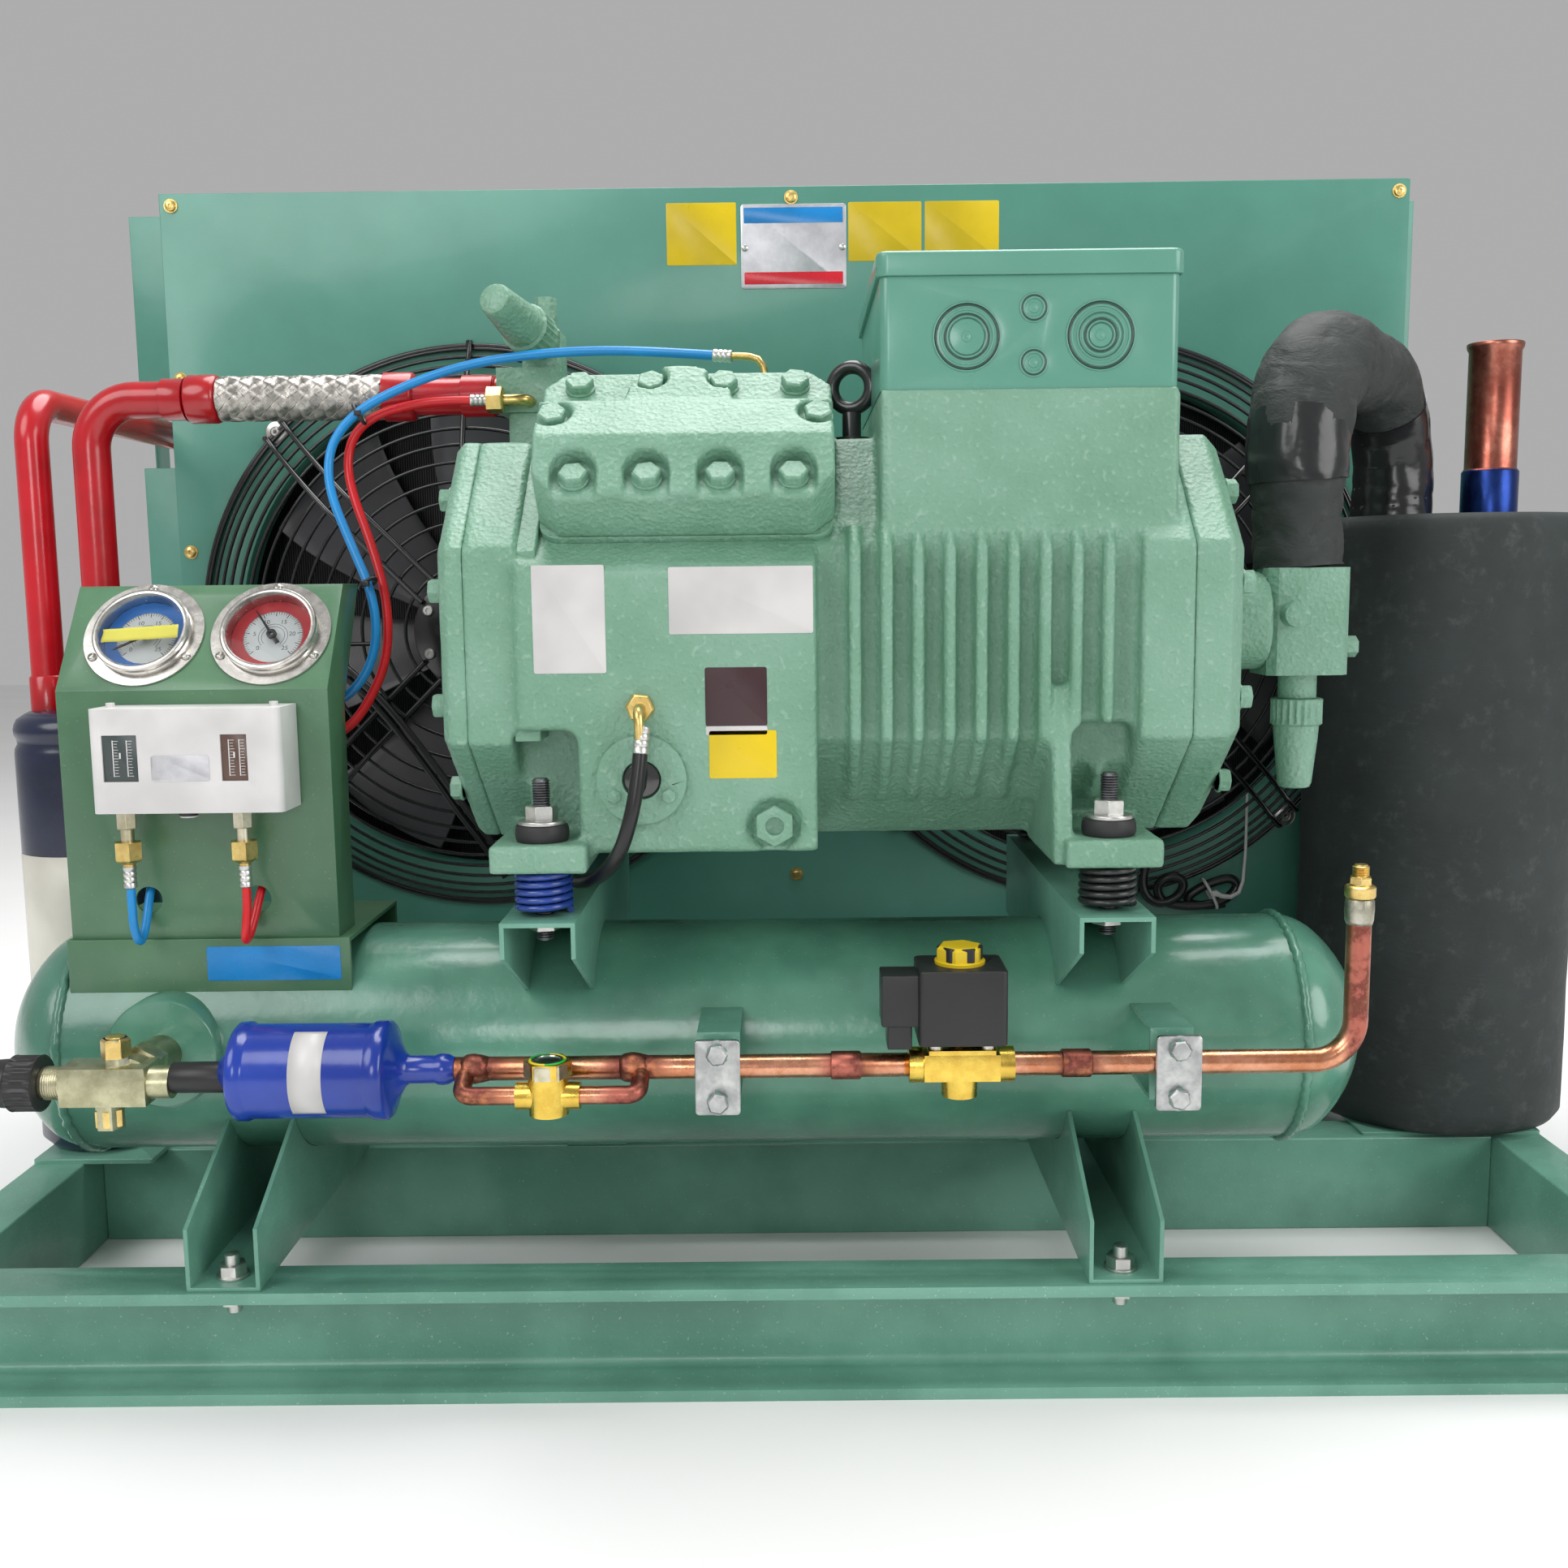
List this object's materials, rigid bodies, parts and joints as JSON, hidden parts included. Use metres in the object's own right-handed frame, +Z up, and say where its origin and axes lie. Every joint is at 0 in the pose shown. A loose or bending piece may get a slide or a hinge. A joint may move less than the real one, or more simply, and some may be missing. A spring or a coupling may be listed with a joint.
{
  "type": "refrigeration condensing unit",
  "caption": "Air-cooled condensing unit: semi-hermetic compressor on springs over a liquid receiver, with twin-fan condenser, gauges, drier and valves on a channel base.",
  "frame": {"origin": "middle of the base's footprint, at floor level", "axes": "+X to the unit's right seen from the compressor side, +Y to the rear where the condenser stands, +Z up"},
  "size_m": [1.338, 0.7595, 0.921],
  "materials": {
    "frame_paint": "mid green satin enamel",
    "compressor_paint": "green stippled casting paint",
    "zinc": "zinc plated fasteners",
    "dark_steel": "machined steel",
    "spring_blue": "glossy blue paint",
    "black_rubber": "matt black",
    "hose_black": "smooth black hose cover",
    "hose_blue": "blue hose cover",
    "hose_red": "red hose cover",
    "box_green": "smooth green paint",
    "black_plastic": "moulded black",
    "pipe_red": "glossy red pipe paint",
    "braid": "braided stainless wire",
    "navy": "dark blue gloss paint",
    "drier_blue": "bright blue gloss paint",
    "foam": "closed-cell insulation foam",
    "copper": "bare copper tube",
    "brass": "machined brass",
    "nickel": "nickel plated brass",
    "white_plastic": "white moulded case",
    "dial": "printed dial with steel bezel",
    "needle": "black pointer",
    "sheet_green": "smooth green sheet paint",
    "fins": "aluminium fins",
    "guard_black": "black coated wire",
    "fan_grey": "dark coated blades"
  },
  "bodies": {
    "unit": {"front_beam": "frame_paint", "rear_beam": "frame_paint", "side_beams": "frame_paint", "cross_beam": "frame_paint", "receiver": "frame_paint", "receiver_saddles": "frame_paint", "saddle_bolts": "zinc", "spring_brackets": "frame_paint", "bracket_legs": "frame_paint", "mount_springs": "spring_blue", "spring_studs": "zinc", "rubber_rings": "black_rubber", "crankcase": "compressor_paint", "bearing_cover": "compressor_paint", "motor_cover": "compressor_paint", "valve_plates": "compressor_paint", "cylinder_head_front": "compressor_paint", "cylinder_head_rear": "compressor_paint", "compressor_bolts": "compressor_paint", "motor_stator": "dark_steel", "terminal_box": "box_green", "terminal_lid": "box_green", "oil_fittings": "compressor_paint", "discharge_valve": "compressor_paint", "discharge_pipe": "pipe_red", "discharge_hose": "braid", "oil_separator": "navy", "condenser_inlet": "pipe_red", "suction_valve": "compressor_paint", "suction_pipe": "foam", "suction_stub": "copper", "accumulator": "foam", "receiver_valve": "nickel", "filter_drier": "drier_blue", "liquid_pipe": "copper", "moisture_indicator": "brass", "solenoid_valve": "brass", "solenoid_coil": "black_plastic", "pipe_clamps": "zinc", "access_fitting": "brass", "gauge_panel": "frame_paint", "gauges": "dial", "pressure_switch": "white_plastic", "hose_fittings": "brass", "hoses_low": "hose_blue", "hoses_high": "hose_red", "oil_hose": "hose_black", "fan_panel": "sheet_green", "condenser_case": "sheet_green", "condenser_coil": "fins", "fan_guards": "guard_black"},
    "fan_left_wheel": {"fan_left": "fan_grey"},
    "fan_right_wheel": {"fan_right": "fan_grey"},
    "crank": {"crankshaft": "dark_steel", "motor_rotor": "dark_steel"},
    "low_pointer": {"needle_low": "needle"},
    "high_pointer": {"needle_high": "needle"},
    "discharge_stem_cap": {"discharge_cap": "compressor_paint"},
    "suction_stem_cap": {"suction_cap": "compressor_paint"},
    "receiver_stem_cap": {"receiver_cap": "black_plastic"}
  },
  "joints": [
    {"name": "fan_left_spin", "type": "hinge", "parent": "unit", "child": "fan_left_wheel", "pos_m": [-0.295, 0.17, 0.509], "axis": [0, 1, 0], "continuous": true},
    {"name": "fan_right_spin", "type": "hinge", "parent": "unit", "child": "fan_right_wheel", "pos_m": [0.291, 0.17, 0.509], "axis": [0, 1, 0], "continuous": true},
    {"name": "crank_spin", "type": "hinge", "parent": "unit", "child": "crank", "pos_m": [0, -0.188, 0.5], "axis": [1, 0, 0], "continuous": true},
    {"name": "low_needle_turn", "type": "hinge", "parent": "unit", "child": "low_pointer", "pos_m": [-0.463, -0.24401, 0.51795], "axis": [0, -0.825, 0.5651], "range_deg": [-250, 20]},
    {"name": "high_needle_turn", "type": "hinge", "parent": "unit", "child": "high_pointer", "pos_m": [-0.372, -0.24401, 0.51795], "axis": [0, -0.825, 0.5651], "range_deg": [-170, 100]},
    {"name": "discharge_cap_unscrew", "type": "slide", "parent": "unit", "child": "discharge_stem_cap", "axis": [-0.3033, -0.9099, 0.2831], "range_m": [0, 0.05]},
    {"name": "suction_cap_unscrew", "type": "slide", "parent": "unit", "child": "suction_stem_cap", "axis": [0, 0, -1], "range_m": [0, 0.05]},
    {"name": "receiver_cap_unscrew", "type": "slide", "parent": "unit", "child": "receiver_stem_cap", "axis": [-1, 0, 0], "range_m": [0, 0.05]}
  ]
}
